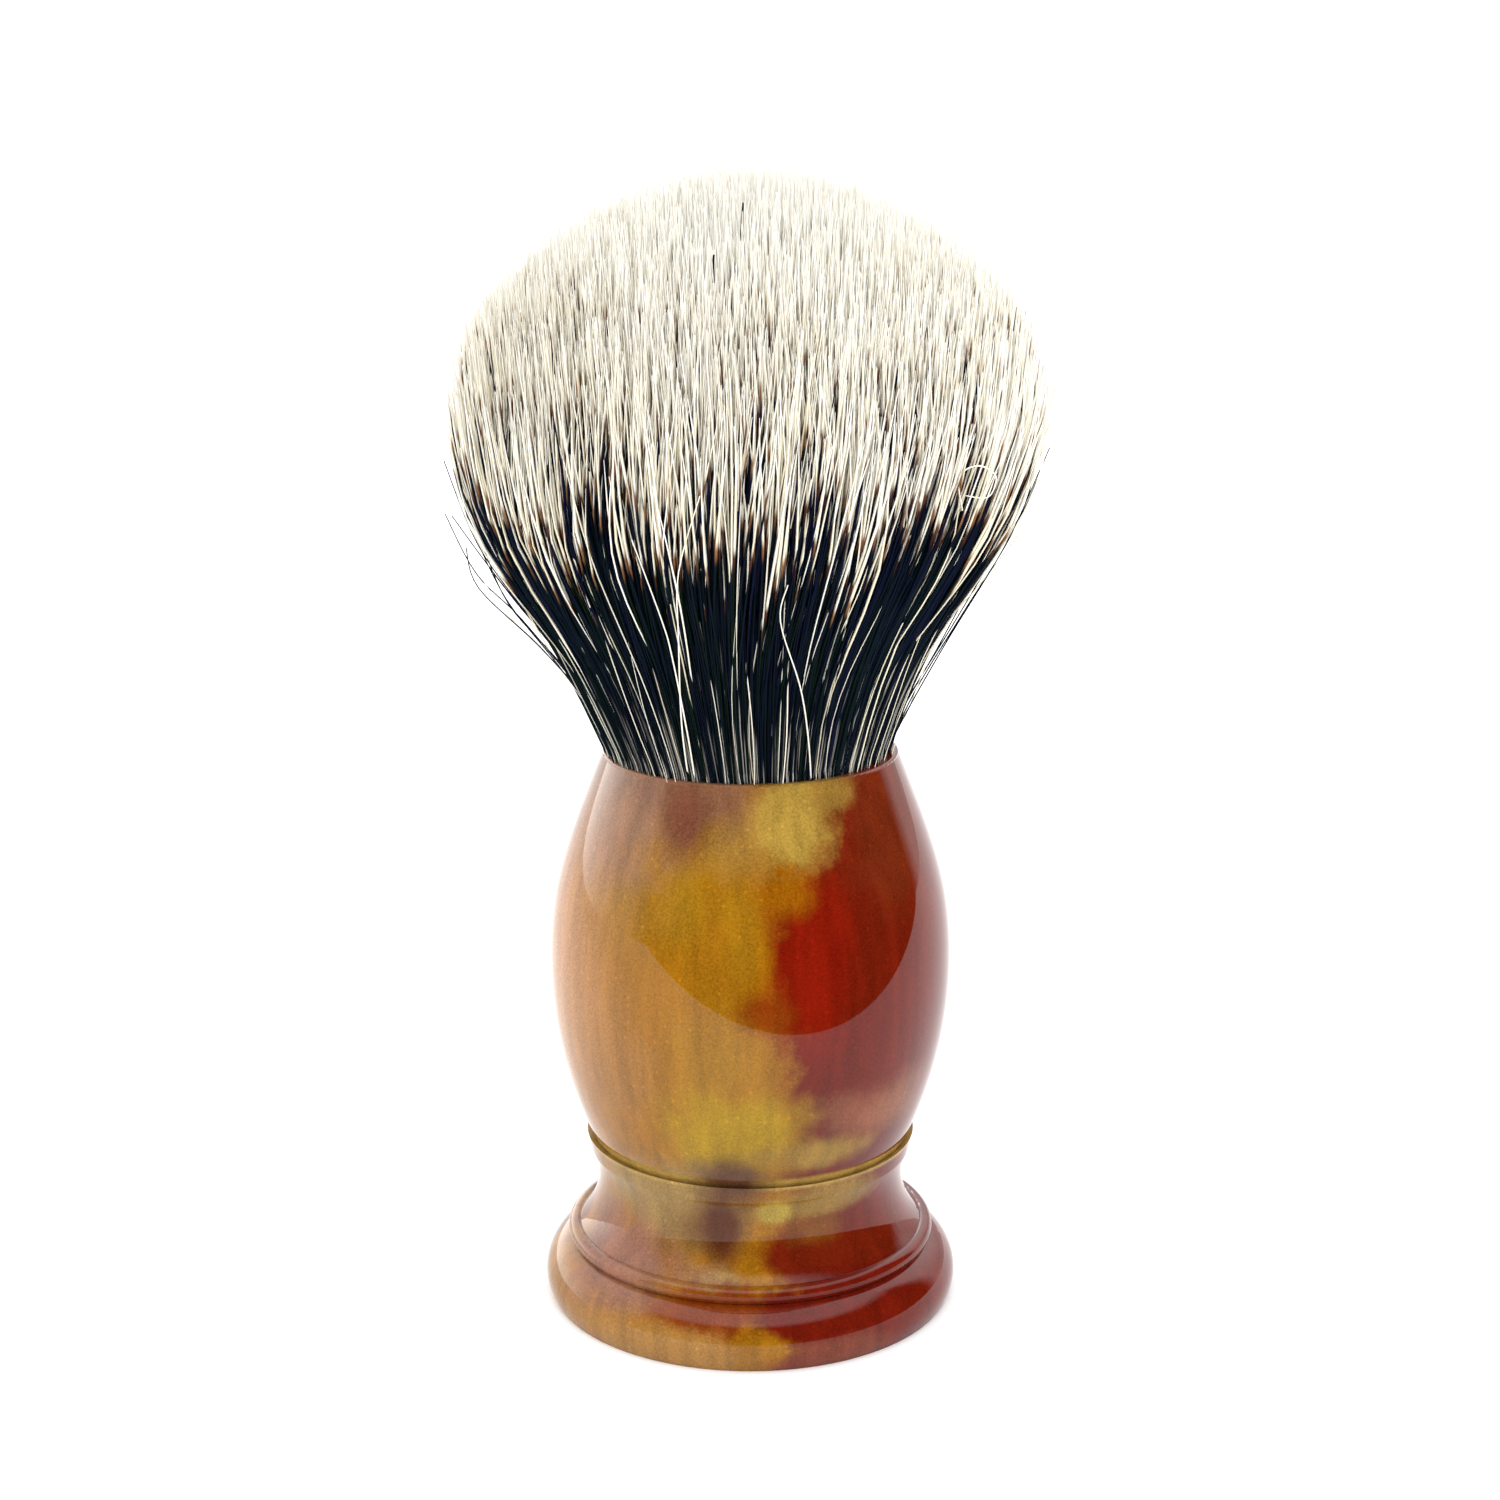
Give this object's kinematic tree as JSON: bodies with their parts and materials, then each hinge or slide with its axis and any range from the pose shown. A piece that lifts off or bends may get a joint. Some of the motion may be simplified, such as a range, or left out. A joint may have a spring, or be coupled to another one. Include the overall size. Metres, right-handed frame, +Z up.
{
  "type": "shaving brush",
  "caption": "Turned resin shaving brush with a flared, two-band badger hair knot that bends on its roots; used to lift lather and spread it on the face.",
  "frame": {"origin": "centre of the flat base that the brush stands on", "axes": "+Z up the turning axis, from the base to the hair tips; +Y away from the viewer of the front"},
  "size_m": [0.0538, 0.0538, 0.1104],
  "materials": {
    "handle_resin": "polished, marbled amber, red and brown",
    "adhesive": "set clear adhesive",
    "collar_plastic": "moulded, satin",
    "plug_resin": "cast, dull gloss",
    "thread": "waxed twist",
    "root_hair": "packed hair, soft sheen",
    "free_hair": "two-band hair, cream tips over a black band"
  },
  "bodies": {
    "grip": {"handle": "handle_resin", "socket_adhesive": "adhesive", "knot_collar": "collar_plastic", "glue_plug": "plug_resin", "binding_thread": "thread", "hair_roots": "root_hair"},
    "bristles": {"hair_bundle": "free_hair"}
  },
  "joints": [
    {"name": "bristle_bend", "type": "hinge", "parent": "grip", "child": "bristles", "pos_m": [0, 0, 0.05], "axis": [0, 1, 0], "range_deg": [-28, 28], "stiffness_Nm_per_rad": 0.25}
  ]
}
